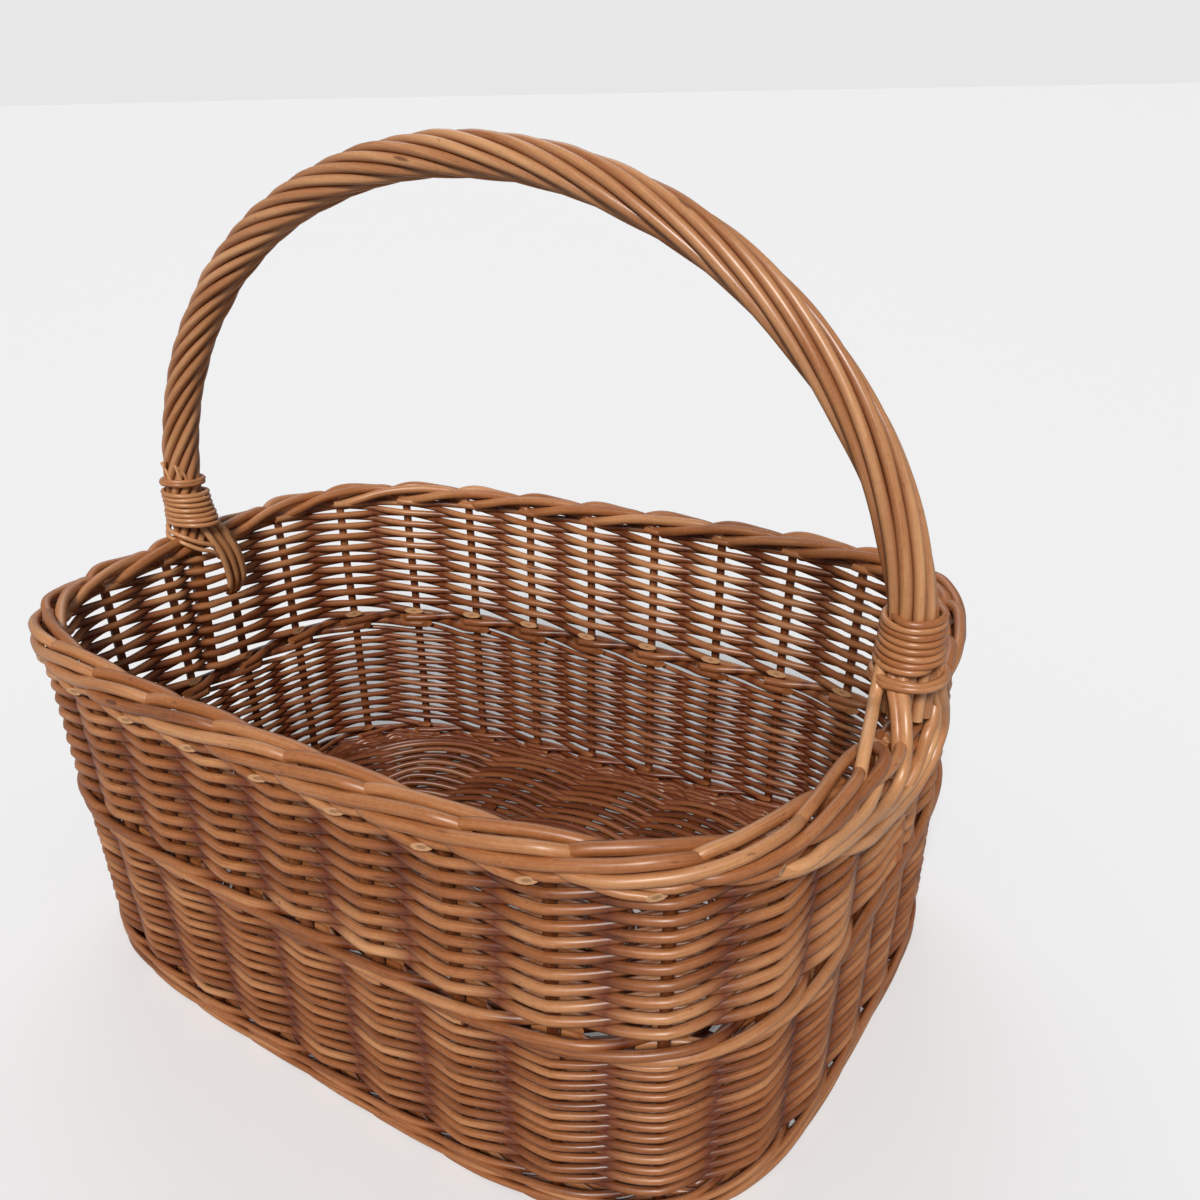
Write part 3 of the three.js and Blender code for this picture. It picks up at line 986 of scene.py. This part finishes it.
def makeRightFoot(values):
    rng = np.random.default_rng(values["seed"])
    makeBinding(values, rng, "rightBinding", "right_handle_binding")
    feet = Rods(10)
    for radius, knots in values["rods"]:
        addFootRod(feet, rng, values["side"], knots, radius * mm)
    addFootRod(feet, rng, values["side"], values["cutEnd"], values["cutEndRadius"], (0, 1),
               values["cutEndFace"])
    feet.build("rightFootRods", finishes["handle_rod"], "handle_rod", "right_handle_lashing")


def makeLeftFoot(values):
    rng = np.random.default_rng(values["seed"])
    makeBinding(values, rng, "leftBinding", "left_handle_binding")
    feet = Rods(10)
    for knots in values["diagonals"]:
        addFootRod(feet, rng, values["side"], knots, values["diagonalRadius"])
    for knots in values["frays"]:
        addFootRod(feet, rng, values["side"], knots, values["frayRadius"], pale=(0, 1))
    spread = np.array(values["bundleSpread"])
    stepAlong, stepOutward = values["bundleStep"]
    for number in range(values["bundleCount"]):
        shift = number - (values["bundleCount"] - 1) / 2
        knots = np.array(values["bundle"], float)
        knots[:, 0] -= shift * stepAlong * spread
        knots[:, 1] += (number % 2 - 0.5) * stepOutward * spread
        addFootRod(feet, rng, values["side"], knots, values["bundleRadius"])
    feet.build("leftFootRods", finishes["handle_rod"], "handle_rod", "left_handle_lashing")


makeRightFoot(rightFoot)
makeLeftFoot(leftFoot)
print("feet of the handle made")


stageValues = {
    "floorSize": 200.0,
    "floorColour": (0.80, 0.80, 0.81, 1),
    "floorRoughness": 0.85,
    "floorGlow": 0.20,  # lifts the floor that the camera sees to an even, pale tone
    "floorBounce": (0.42, 0.42, 0.43, 1),  # how much light the floor throws back up
    "backdrop": (0.80, 0.80, 0.81, 1),  # the pale room that the camera sees
    "sky": (0.88, 0.93, 1.0, 1),  # the softer light that the room gives
    "skyStrength": 0.26,
    "lamps": [
        # name, where the light comes from, its strength, its softness in degrees and its colour
        ("keyLamp", (0.42, -1.0, 0.95), 2.75, 16, (1.0, 0.97, 0.93)),
        ("backLamp", (-0.7, 0.9, 1.1), 0.45, 40, (0.95, 0.98, 1.0)),
    ],
}


def makeFloorFinish(values):
    material = bpy.data.materials.new("paleFloor")
    finish = Shading(material)
    seen = finish.node("ShaderNodeBsdfPrincipled", None, {
        "Base Color": values["floorColour"], "Roughness": values["floorRoughness"],
        "Emission Color": values["floorColour"], "Emission Strength": values["floorGlow"]})
    bounce = finish.node("ShaderNodeBsdfDiffuse", None, {"Color": values["floorBounce"]})
    cameraRay = finish.node("ShaderNodeLightPath", output="Is Camera Ray")
    either = finish.node("ShaderNodeMixShader", None, {0: cameraRay, 1: bounce, 2: seen})
    finish.node("ShaderNodeOutputMaterial", None, {"Surface": either})
    return material


def makeRoom(values):
    world = bpy.data.worlds.new("world")
    bpy.context.scene.world = world
    light = Shading(world)
    sky = light.node("ShaderNodeBackground", None,
                     {"Color": values["sky"], "Strength": values["skyStrength"]})
    seen = light.node("ShaderNodeBackground", None, {"Color": values["backdrop"]})
    cameraRay = light.node("ShaderNodeLightPath", output="Is Camera Ray")
    either = light.node("ShaderNodeMixShader", None, {0: cameraRay, 1: sky, 2: seen})
    light.node("ShaderNodeOutputWorld", None, {"Surface": either})


def makeStage(values):
    half = values["floorSize"] / 2
    mesh = bpy.data.meshes.new("floor")
    corners = [(-half, -half, 0), (half, -half, 0), (half, half, 0), (-half, half, 0)]
    mesh.from_pydata(corners, [], [(0, 1, 2, 3)])
    mesh.materials.append(makeFloorFinish(values))
    floor = bpy.data.objects.new("floor", mesh)
    bpy.context.scene.collection.objects.link(floor)
    makeRoom(values)
    for name, source, strength, softness, colour in values["lamps"]:
        lamp = bpy.data.lights.new(name, "SUN")
        lamp.energy = strength
        lamp.angle = math.radians(softness)
        lamp.color = colour
        holder = bpy.data.objects.new(name, lamp)
        holder.location = source
        holder.rotation_euler = Vector(source).to_track_quat("Z", "Y").to_euler()
        bpy.context.scene.collection.objects.link(holder)


makeStage(stageValues)
bpy.context.scene.view_settings.view_transform = "Standard"
print("floor and light made")
